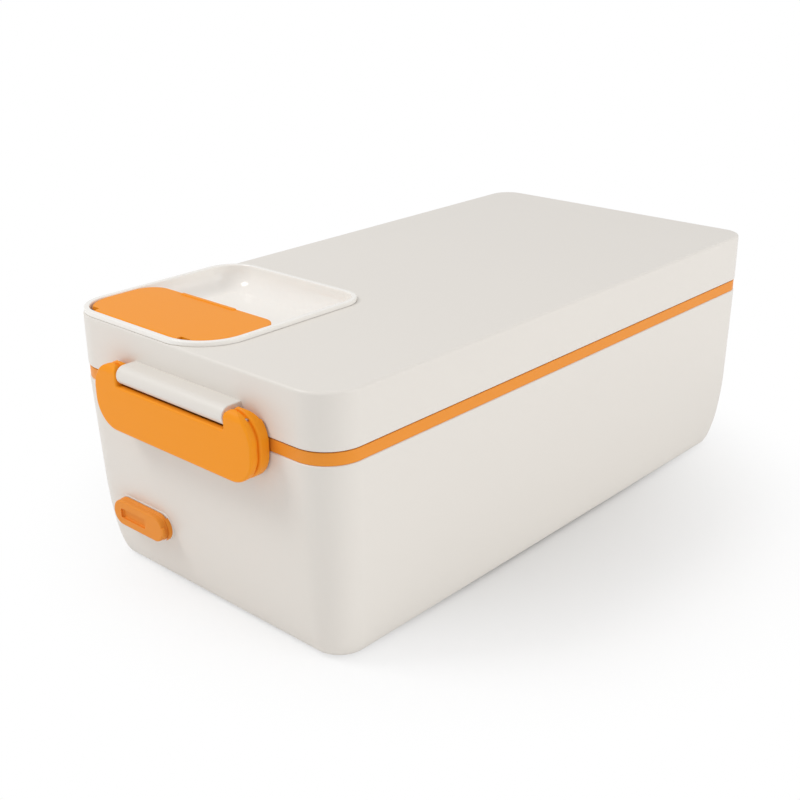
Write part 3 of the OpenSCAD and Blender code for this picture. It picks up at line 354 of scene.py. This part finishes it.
nodeFinish = dict(
    base_shell=creamShell, trim_band=orangeBand, inner_liner=innerWhite, heating_plate=plateAluminium,
    ptc_heater=plateAluminium, heater_clamp=screwSteel, clamp_screws=screwSteel, thermostat=brownPlastic,
    thermal_fuse=fuseCeramic, insulation_pad=insulationFelt, internal_wiring=wireSleeve,
    inlet_housing=blackPlastic, inlet_contacts=contactBrass, inlet_screws=screwSteel,
    cover_anchor=orangeRubber, socket_cover=orangeRubber, bottom_cover=creamShell,
    bottom_screws=screwSteel, rubber_feet=footRubber, hinge_pin=screwSteel, food_pot=potSteel,
    lid_shell=creamShell, lid_liner=innerWhite, lid_seal=sealRubber, lid_screws=screwSteel,
    vent_tray=glossWhite, steam_valve=sealRubber, vent_flap=orangePlastic, flap_pin=screwSteel,
    latch_lever=orangePlastic, latch_pin=screwSteel,
)
for nodeName, finish in nodeFinish.items():
    coat(nodes[nodeName], finish, meshing["solidSharp"])


def bulge(h):
    # how far the wall has drawn in at height h, as a share
    return 0.0 if h >= box["roundHeight"] else 1 - math.sqrt(1 - (1 - h / box["roundHeight"]) ** 2)


def bodyRing(h, inset):
    # outline of the base at height h above its lower edge
    lean = 1 - h / (box["band"] - box["shell"])
    side = box["sideDraft"] * lean + box["sideRound"] * bulge(h)
    near = box["frontDraft"] * lean + box["frontRound"] * bulge(h)
    far = box["rearDraft"] * lean + box["rearRound"] * bulge(h)
    share = side / (box["sideDraft"] + box["sideRound"])
    a = box["frontCorner"] + (box["frontFoot"] - box["frontCorner"]) * share
    c = box["rearCorner"] + (box["rearFoot"] - box["rearCorner"]) * share
    area = (-box["halfWidth"] + side, box["front"] + near, box["halfWidth"] - side, box["rear"] - far)
    return [upright(x, y, box["shell"] + h) for x, y in rounded(area, (a, a, c, c), inset)]


rimArea = (-box["halfWidth"], box["front"], box["halfWidth"], box["rear"])
rimRadii = (box["frontCorner"], box["frontCorner"], box["rearCorner"], box["rearCorner"])
inlet = dict(x=-29.5, z=22.7)
hinge = dict(y=120, z=70.9, radius=3.5, edge=0.3, pin=1.3, pinReach=40, half=35, baseKnuckle=10,
             lidKnuckle=24.7, webInset=0.3)
baseLook = dict(
    rimRound=0.5, footRound=0.8, edgeSteps=4, levels=22, upperLevels=4,
    ledgeWidth=3, ledgeThickness=2.5, ledgeLap=0.6, ledgeGap=0.02,
    seatSize=(28.2, 9.9), seatFace=114.455, seatDepth=3.0, seatEdge=0.3,
    mouthSize=(19.6, 8.4), mouthReach=(100, 125), noseSize=(21.7, 10.5), noseReach=(100, 112.955),
    catch=dict(area=(-21, -119.3, 21, -114.5), radii=(0.8, 0.8, 0.3, 0.3), low=62.0, high=64.5,
               edge=0.3, steps=3),
    web=((114.6, 57.6), (122.38, 68.5), (120, 69.9), (116.05, 66.75), (114.6, 66.75)),
)


def wallRing(name, area, radii, outerInset, innerInset, low, high, edge=0.0, steps=3):
    # a closed ring of wall with its four edges rounded
    profile = []
    for inset, z, start in ((outerInset + edge, low + edge, 270), (outerInset + edge, high - edge, 180),
                            (innerInset - edge, high - edge, 90), (innerInset - edge, low + edge, 0)):
        profile += arc(inset, z, edge, start, steps, -90) if edge else [(inset, z)]
    rings = [[upright(x, y, z) for x, y in rounded(area, radii, inset)] for inset, z in profile]
    return loft(name, rings, closed=True)


def inletForm(name, size, low, high, lowEdge=0.0, highEdge=0.0):
    # a stadium round the power inlet, on the latch end
    outline = stadium(inlet["x"], inlet["z"], *size)
    return roundedPrism(name, outline, low, high, lowEdge, highEdge, facingFront)


def hingeForm(name, radius, x0, x1, edge=0.0):
    return roundedPrism(name, disc(hinge["y"], hinge["z"], radius), x0, x1, edge, edge, facingSide)


def hingeWeb(name, outline, x0, x1):
    # joins a knuckle to its shell, a little short of the knuckle's ends
    return roundedPrism(name, outline, x0 + hinge["webInset"], x1 - hinge["webInset"], place=facingSide)


def buildWalls():
    full = box["band"] - box["shell"]
    rim, foot = baseLook["rimRound"], baseLook["footRound"]
    heights = [box["roundHeight"] * (1 - math.cos(a)) for a in quarter(baseLook["levels"])[1:]]
    heights = [h for h in heights if h > foot]
    upper = baseLook["upperLevels"]
    heights += [box["roundHeight"] + (full - box["roundHeight"]) * i / upper for i in range(1, upper)]
    edge = quarter(baseLook["edgeSteps"])
    outer = [bodyRing(foot * (1 - math.cos(a)), foot * (1 - math.sin(a))) for a in edge]
    outer += [bodyRing(h, 0) for h in heights]
    outer += [bodyRing(full - rim * (1 - math.sin(a)), rim * (1 - math.cos(a))) for a in edge]
    inner = [bodyRing(h, box["wall"]) for h in [full] + heights[::-1] + [0]]
    return loft("baseShell", outer + inner, closed=True)


def buildBase():
    shell = buildWalls()
    look = baseLook
    # the ledge carries the deck
    ledge = wallRing("ledge", rimArea, rimRadii, box["wall"] - look["ledgeLap"],
                     box["wall"] + look["ledgeWidth"], box["band"] - look["ledgeThickness"],
                     box["band"] - look["ledgeGap"])
    seatPad = inletForm("seatPad", look["seatSize"], look["seatFace"] - look["seatDepth"],
                        look["seatFace"], 0, look["seatEdge"])
    mouthHole = inletForm("mouthHole", look["mouthSize"], *look["mouthReach"])
    noseRoom = inletForm("noseRoom", look["noseSize"], *look["noseReach"])
    catchRib = crossRib("catchRib", look["catch"])
    knuckles = []
    for side in (-1, 1):
        x0, x1 = sorted((side * hinge["half"], side * (hinge["half"] - hinge["baseKnuckle"])))
        knuckles.append(hingeForm("knuckle", hinge["radius"], x0, x1, hinge["edge"]))
        knuckles.append(hingeWeb("web", look["web"], x0, x1))
    combine(shell, [ledge, seatPad, catchRib] + knuckles)
    pinHole = hingeForm("pinHole", hinge["pin"], -hinge["pinReach"], hinge["pinReach"])
    combine(shell, [mouthHole, noseRoom, pinHole], "DIFFERENCE")
    return shell


baseShell = buildBase()
finishPiece(baseShell, creamShell, "base", ["base_shell"])
print("base shell ready")

bandLook = dict(outer=0.3, inner=2.9, edge=0.25)
trimBand = wallRing("trimBand", rimArea, rimRadii, bandLook["outer"], bandLook["inner"],
                    box["band"], box["rim"], bandLook["edge"])
finishPiece(trimBand, orangeBand, "base", ["trim_band"])
print("band ready")

recess = dict(area=(-59.65, -115.65, 7.55, -45.1), radii=(12.65, 17, 9, 12), rimWidth=1.8, rimProud=1.5,
              rimSunk=0.25, neck=1.0, gap=0.15)
barrel = dict(y=-120.4, z=76.3, radius=3.1, steps=32, half=25, back=-115.2, edge=0.4, edgeSteps=3)
lidLook = dict(topEdge=1.0, topSteps=8, lowEdge=0.5, lowSteps=3, wall=2.2, ceiling=2.2, openingLow=78.9,
               web=((114.9, 71.25), (120, 71.25), (122.38, 73.28), (114.9, 80.2)))


def barrelProfile():
    y, z, r = barrel["y"], barrel["z"], barrel["radius"]
    return arc(y, z, r, 90, barrel["steps"], 180) + [(barrel["back"], z - r), (barrel["back"], z + r)]


def buildLid():
    low, high = box["lid"], box["top"]
    levels = edgeLevels(low, high, lidLook["lowEdge"], lidLook["topEdge"],
                        lidLook["lowSteps"], lidLook["topSteps"])
    outer = [[upright(x, y, z) for x, y in rounded(rimArea, rimRadii, inset)] for inset, z in levels]
    shell = loft("lidShell", outer)
    hollow = roundedPrism("hollow", rounded(rimArea, rimRadii, lidLook["wall"]),
                          low - cutPast, high - lidLook["ceiling"])
    openingOutline = rounded(recess["area"], recess["radii"], recess["neck"] - recess["gap"])
    opening = roundedPrism("opening", openingOutline, lidLook["openingLow"], high + cutPast)
    combine(shell, [hollow], "DIFFERENCE")
    combine(shell, [opening], "DIFFERENCE")
    step = roundedPrism("step", rounded(recess["area"], recess["radii"], -recess["gap"]),
                        high - recess["rimSunk"], high + cutPast)
    combine(shell, [step], "DIFFERENCE")
    half = hinge["lidKnuckle"]
    bar = roundedPrism("bar", barrelProfile(), -barrel["half"], barrel["half"], barrel["edge"],
                       barrel["edge"], facingSide, barrel["edgeSteps"])
    knuckle = hingeForm("lidKnuckle", hinge["radius"], -half, half, hinge["edge"])
    web = hingeWeb("lidWeb", lidLook["web"], -half, half)
    combine(shell, [bar, knuckle, web])
    return shell


lidShell = buildLid()
finishPiece(lidShell, creamShell, "lid", ["lid_shell"])
print("lid shell ready")

tray = dict(bowlFront=-89.2, bowlCorner=4, bowlDepth=7.2, bowlRound=7, bowlSteps=12, skin=1.8, skinLow=70,
            bed=87.7, bedThick=2, lap=0.1, rimEdge=0.4, above=3,
            valveX=-28, valveY=-96.5, holeR=2.6, holeLow=80, seatR=4.6, seatDepth=0.8)
frontRoom = dict(left=-80, front=-130, right=20, low=60, high=120)


def frontBlock(name, rear):
    # all of the recess between the latch end and rear
    outline = rectangle(frontRoom["left"], frontRoom["front"], frontRoom["right"], rear)
    return roundedPrism(name, outline, frontRoom["low"], frontRoom["high"])


def bowlRings(grow, depth):
    a, r, rim = recess["area"], recess["radii"], recess["rimWidth"]
    area = (a[0] + rim - grow, tray["bowlFront"] - grow, a[2] - rim + grow, a[3] - rim + grow)
    radii = (tray["bowlCorner"], tray["bowlCorner"], r[2] - rim + grow, r[3] - rim + grow)
    rings = [[upright(x, y, box["top"] + tray["above"]) for x, y in rounded(area, radii)]]
    for t in quarter(tray["bowlSteps"]):
        outline = rounded(area, radii, tray["bowlRound"] * (1 - math.cos(t)))
        rings.append([upright(x, y, box["top"] - depth * math.sin(t)) for x, y in outline])
    return rings[::-1]


def buildTray():
    top, bed, rimWidth = box["top"], tray["bed"], recess["rimWidth"]
    neckOutline = rounded(recess["area"], recess["radii"], recess["neck"])
    neck = roundedPrism("ventTray", neckOutline, bed - tray["bedThick"], top + tray["lap"])
    skin = loft("skin", bowlRings(rimWidth - recess["neck"], tray["bowlDepth"] + tray["skin"]))
    limit = roundedPrism("limit", neckOutline, tray["skinLow"], top + tray["lap"])
    combine(skin, [limit], "INTERSECT")
    rim = wallRing("rim", recess["area"], recess["radii"], 0, rimWidth,
                   top - recess["rimSunk"], top + recess["rimProud"], tray["rimEdge"])
    combine(neck, [skin, rim])
    bedRoom = roundedPrism("bed", rounded(recess["area"], recess["radii"], rimWidth),
                           bed, top + tray["above"])
    combine(bedRoom, [frontBlock("keep", tray["bowlFront"] + tray["bowlCorner"])], "INTERSECT")
    bowl = loft("bowl", bowlRings(0, tray["bowlDepth"]))
    valveSeat = roundedPrism("valveSeat", disc(tray["valveX"], tray["valveY"], tray["seatR"]),
                             bed - tray["seatDepth"], bed + cutPast)
    valveHole = roundedPrism("valveHole", disc(tray["valveX"], tray["valveY"], tray["holeR"]),
                             tray["holeLow"], bed + cutPast)
    combine(neck, [bedRoom, bowl, valveSeat, valveHole], "DIFFERENCE")
    return neck


ventTray = buildTray()
finishPiece(ventTray, glossWhite, "lid", ["vent_tray"])
print("vent tray ready")

flap = dict(
    area=(-57.55, -113.55, 5.45, -82.7), radii=(12.05, 16.4, 6, 8), low=88.1, high=90.1,
    lowEdge=0.2, highEdge=0.35, pinY=-112.55, pinZ=89.1, sideStart=-111.05,
    barrel=(-48.9, -7.0), barrelR=1.0, barrelSteps=40, barrelEdge=0.2,
    tongueLap=1, tongueCorner=0.3, tongueInset=0.001,
    lip=(-41.55, -14.55), lipBack=0.02, lipDepth=1.6, lipRadii=(0.7, 0.7, 0.5, 0.5), lipSunk=0.5,
    lipProud=0.3, lipEdge=0.3, nibR=1.05, nibSteps=24, nibLow=86.5, nibLap=0.3, nibEdge=0.2,
)


def buildFlap():
    low, high, rear = flap["low"], flap["high"], flap["area"][3]
    plate = roundedPrism("ventFlap", rounded(flap["area"], flap["radii"]), low, high,
                         flap["lowEdge"], flap["highEdge"])
    combine(plate, [frontBlock("cut", flap["sideStart"])], "DIFFERENCE")
    x0, x1 = flap["barrel"]
    tongueArea = (x0, flap["pinY"], x1, flap["sideStart"] + flap["tongueLap"])
    tongue = roundedPrism("tongue", rounded(tongueArea, (flap["tongueCorner"],) * 4, steps=2),
                          low + flap["tongueInset"], high - flap["tongueInset"])
    roll = roundedPrism("roll", disc(flap["pinY"], flap["pinZ"], flap["barrelR"], flap["barrelSteps"]),
                        x0, x1, flap["barrelEdge"], flap["barrelEdge"], facingSide)
    lipArea = (flap["lip"][0], rear - flap["lipDepth"], flap["lip"][1], rear - flap["lipBack"])
    lip = roundedPrism("lip", rounded(lipArea, flap["lipRadii"], steps=4),
                       high - flap["lipSunk"], high + flap["lipProud"], 0, flap["lipEdge"])
    nib = roundedPrism("nib", disc(tray["valveX"], tray["valveY"], flap["nibR"], flap["nibSteps"]),
                       flap["nibLow"], low + flap["nibLap"], flap["nibEdge"], 0)
    combine(plate, [tongue, roll, lip, nib])
    return plate


ventFlap = buildFlap()
finishPiece(ventFlap, orangePlastic, "flap", ["vent_flap"])
print("vent flap ready")

latch = dict(
    half=36.9, low=57.4, corner=9.5, cornerSteps=20, earTop=79.5, earRound=3.2, earOuter=18, earInner=10,
    notchHalf=25.3, notchLow=72.8, notchRound=0.6, notchSteps=6,
    face=123.6, plateBack=121.2, backEdge=0.4, rimRound=0.7, rimSteps=6, crease=1.0, creaseLap=0.5,
    cheekFront=120.1, cheekFrontEdge=0.9, back=116.4, cheekBackEdge=0.5,
    hollowHalf=27.5, hollowLow=40, hollowTop=73.2, hollowBack=110,
    pivotY=-120.4, pivotZ=76.3, pivotR=3.2, crownSteps=45, crownHalf=45, crownLow=50, crownBack=-110,
    crownFront=0.5, crownStep=0.001,
    hook=dict(area=(-20, -121.3, 20, -117.5), radii=(0.3, 0.3, 0.8, 0.8), low=59.7, high=61.7,
              edge=0.3, steps=3),
)


def latchOutline(inset=0.0):
    # the ear's small inner arc meets its large outer arc where both have one tangent
    h, r, e = latch["half"], latch["corner"], latch["earRound"]
    n, k = latch["notchRound"], latch["notchLow"]
    low = arc(h - r, latch["low"] + r, r, 270, latch["cornerSteps"])
    cx, cz = h - r, latch["earTop"] - r
    ex = latch["notchHalf"] + e
    ez = cz + math.sqrt((r - e) ** 2 - (ex - cx) ** 2)
    meet = math.degrees(math.atan2(ez - cz, ex - cx))
    outerArc = arc(cx, cz, r, 0, latch["earOuter"], meet)
    innerArc = arc(ex, ez, e, meet, latch["earInner"], 180 - meet)[1:]
    fillet = arc(latch["notchHalf"] - n, k + n, n, 0, latch["notchSteps"], -90)
    right = low + outerArc + innerArc + fillet
    left = [(-x, z) for x, z in right][::-1]
    return shiftIn(right + left, inset)


def crownOutline():
    # seen from the side: the lever whole below its pivot, and a round above it
    y, z, front, back = latch["pivotY"], latch["pivotZ"], -latch["face"], latch["crownBack"]
    foremost, low = front - latch["crownFront"], latch["crownLow"]
    crown = arc(y, z, latch["pivotR"], 0, latch["crownSteps"], 180)[:-1]
    crown += [(front - latch["crownStep"], z), (foremost, z)]
    return [(foremost, low), (back, low), (back, z)] + crown


def buildLatch():
    plateBack, cheekFront = latch["plateBack"], latch["cheekFront"]
    plate = roundedPrism("latchLever", latchOutline(), plateBack, latch["face"], latch["backEdge"],
                         latch["rimRound"], facingFront, latch["rimSteps"])
    groove = roundedPrism("groove", latchOutline(latch["crease"]), cheekFront - latch["creaseLap"],
                          plateBack + latch["creaseLap"], place=facingFront)
    cheeks = roundedPrism("cheeks", latchOutline(), latch["back"], cheekFront, latch["cheekBackEdge"],
                          latch["cheekFrontEdge"], facingFront)
    room = rectangle(-latch["hollowHalf"], latch["hollowLow"], latch["hollowHalf"], latch["hollowTop"])
    hollow = roundedPrism("hollow", room, latch["hollowBack"], plateBack, place=facingFront)
    combine(plate, [groove, cheeks])
    combine(plate, [hollow], "DIFFERENCE")
    limit = roundedPrism("limit", crownOutline(), -latch["crownHalf"], latch["crownHalf"], place=facingSide)
    combine(plate, [limit], "INTERSECT")
    combine(plate, [crossRib("hook", latch["hook"])])
    return plate


latchLever = buildLatch()
finishPiece(latchLever, orangePlastic, "latch", ["latch_lever"])
print("latch lever ready")

cover = dict(
    length=26, height=8.9, rim=0.2, back=114.755, flange=1.3, flangeEdge=0.5,
    face=117.855, faceEdge=0.5, faceLap=0.02,
    plugSize=(17.4, 7.6), plugEnd=110.755, plugLap=0.3, plugEdge=0.3, plugHollow=(15.0, 5.2), hollowEnd=100,
    beadX=-16.5, beadY=-117.255, beadR=0.6, beadSteps=24, beadHalf=1.5, beadEdge=0.15, beadEdgeSteps=2,
    slot=(-38.5, -25.5), slotHeight=3.5, slotDepth=1.0, slotCorner=0.7, slotSteps=5, slotEdge=0.35,
)


def buildCover():
    z, back, face, rim = inlet["z"], cover["back"], cover["face"], cover["rim"]
    flangeSize = (cover["length"] + 2 * rim, cover["height"] + 2 * rim)
    flange = inletForm("socketCover", flangeSize, back, back + cover["flange"], 0, cover["flangeEdge"])
    front = inletForm("face", (cover["length"], cover["height"]), back + cover["faceLap"], face,
                      0, cover["faceEdge"])
    plug = inletForm("plug", cover["plugSize"], cover["plugEnd"], back + cover["plugLap"],
                     cover["plugEdge"], 0)
    hollow = inletForm("hollow", cover["plugHollow"], cover["hollowEnd"], back)
    combine(plug, [hollow], "DIFFERENCE")
    bead = roundedPrism("bead", disc(cover["beadX"], cover["beadY"], cover["beadR"], cover["beadSteps"]),
                        z - cover["beadHalf"], z + cover["beadHalf"], cover["beadEdge"], cover["beadEdge"],
                        steps=cover["beadEdgeSteps"])
    combine(flange, [front, plug, bead])
    x0, x1 = cover["slot"]
    slotArea = (x0, z - cover["slotHeight"] / 2, x1, z + cover["slotHeight"] / 2)
    slotOutline = rounded(slotArea, (cover["slotCorner"],) * 4, steps=cover["slotSteps"])
    slotCut = roundedPrism("slotCut", slotOutline, face - cover["slotDepth"], face + cutPast,
                           cover["slotEdge"], 0, facingFront)
    combine(flange, [slotCut], "DIFFERENCE")
    return flange


socketCover = buildCover()
finishPiece(socketCover, orangeRubber, "cover", ["socket_cover"])
print("socket cover ready")

stageLook = dict(floorHalf=2.5, floorShade=0.93, floorRoughness=0.9, floorSpecular=0.1,
                 fadeFrom=0.05, fadeTo=0.16, worldStrength=0.68, reflected=0.7, whiteStrength=1.0)


def mixedBy(tree, mask, first, second):
    node = tree.nodes.new("ShaderNodeMixShader")
    tree.links.new(mask, node.inputs["Fac"])
    tree.links.new(first, node.inputs[1])
    tree.links.new(second, node.inputs[2])
    return node.outputs["Shader"]


def buildFloor():
    mesh = bpy.data.meshes.new("floor")
    h = stageLook["floorHalf"]
    mesh.from_pydata([(x, y, 0) for x, y in rectangle(-h, -h, h, h)], [], [(0, 1, 2, 3)])
    floor = bpy.data.objects.new("floor", mesh)
    scene.collection.objects.link(floor)
    material = bpy.data.materials.new("paleFloor")
    material.use_nodes = True
    tree = material.node_tree
    shader = tree.nodes["Principled BSDF"]
    shader.inputs["Base Color"].default_value = (stageLook["floorShade"],) * 3 + (1,)
    shader.inputs["Roughness"].default_value = stageLook["floorRoughness"]
    shader.inputs["Specular IOR Level"].default_value = stageLook["floorSpecular"]
    white = tree.nodes.new("ShaderNodeEmission")
    white.inputs["Strength"].default_value = stageLook["whiteStrength"]
    where = tree.nodes.new("ShaderNodeTexCoord")
    distance = tree.nodes.new("ShaderNodeVectorMath")
    distance.operation = "LENGTH"
    fade = tree.nodes.new("ShaderNodeMapRange")
    fade.interpolation_type = "SMOOTHSTEP"
    fade.inputs["From Min"].default_value = stageLook["fadeFrom"]
    fade.inputs["From Max"].default_value = stageLook["fadeTo"]
    path = tree.nodes.new("ShaderNodeLightPath")
    shown = mathNode(tree, "MULTIPLY", fade.outputs["Result"], path.outputs["Is Camera Ray"])
    tree.links.new(where.outputs["Object"], distance.inputs[0])
    tree.links.new(distance.outputs["Value"], fade.inputs["Value"])
    mixed = mixedBy(tree, shown, shader.outputs["BSDF"], white.outputs["Emission"])
    tree.links.new(mixed, tree.nodes["Material Output"].inputs["Surface"])
    mesh.materials.append(material)


def background(tree, strength):
    node = tree.nodes.new("ShaderNodeBackground")
    node.inputs["Color"].default_value = (1, 1, 1, 1)
    node.inputs["Strength"].default_value = strength
    return node.outputs["Background"]


def buildWorld():
    # white to the camera, a little dimmer to mirrors, and plain light for all else
    world = bpy.data.worlds.new("studio")
    scene.world = world
    world.use_nodes = True
    tree = world.node_tree
    tree.nodes.clear()
    out = tree.nodes.new("ShaderNodeOutputWorld")
    soft = background(tree, stageLook["worldStrength"])
    mirrored = background(tree, stageLook["reflected"])
    white = background(tree, stageLook["whiteStrength"])
    path = tree.nodes.new("ShaderNodeLightPath")
    glossy = mixedBy(tree, path.outputs["Is Glossy Ray"], soft, mirrored)
    mixed = mixedBy(tree, path.outputs["Is Camera Ray"], glossy, white)
    tree.links.new(mixed, out.inputs["Surface"])


lamps = (
    dict(name="key", at=(-0.45, -0.55, 0.85), aim=(0, 0, 0.05), size=0.35, power=3.4),
    dict(name="rightFill", at=(0.9, 0.25, 0.35), aim=(0, 0, 0.05), size=0.7, power=2.5),
)


def buildLamps():
    for lamp in lamps:
        light = bpy.data.lights.new(lamp["name"], "AREA")
        light.shape = "SQUARE"
        light.size = lamp["size"]
        light.energy = lamp["power"]
        holder = bpy.data.objects.new(lamp["name"], light)
        holder.location = lamp["at"]
        holder.rotation_mode = "QUATERNION"
        holder.rotation_quaternion = (Vector(lamp["aim"]) - Vector(lamp["at"])).to_track_quat("-Z", "Y")
        scene.collection.objects.link(holder)


viewpoint = dict(place=(0.27435, -0.32155, 0.20948), yaw=42.46, elevation=22.16, roll=-0.53, lens=54.70,
                 sensor=36, nearest=0.01)


def buildCamera():
    a, e, t = (math.radians(viewpoint[k]) for k in ("yaw", "elevation", "roll"))
    forward = Vector((-math.sin(a) * math.cos(e), math.cos(a) * math.cos(e), -math.sin(e)))
    level = Vector((math.cos(a), math.sin(a), 0))
    above = level.cross(forward)
    right = level * math.cos(t) + above * math.sin(t)
    up = above * math.cos(t) - level * math.sin(t)
    data = bpy.data.cameras.new("camera")
    data.lens = viewpoint["lens"]
    data.sensor_width = viewpoint["sensor"]
    data.clip_start = viewpoint["nearest"]
    camera = bpy.data.objects.new("camera", data)
    turned = Matrix((right, up, -forward)).transposed().to_4x4()
    camera.matrix_world = Matrix.Translation(viewpoint["place"]) @ turned
    scene.collection.objects.link(camera)
    scene.camera = camera


buildFloor()
buildWorld()
buildLamps()
buildCamera()
scene.view_settings.view_transform = "Standard"
print("stage ready")
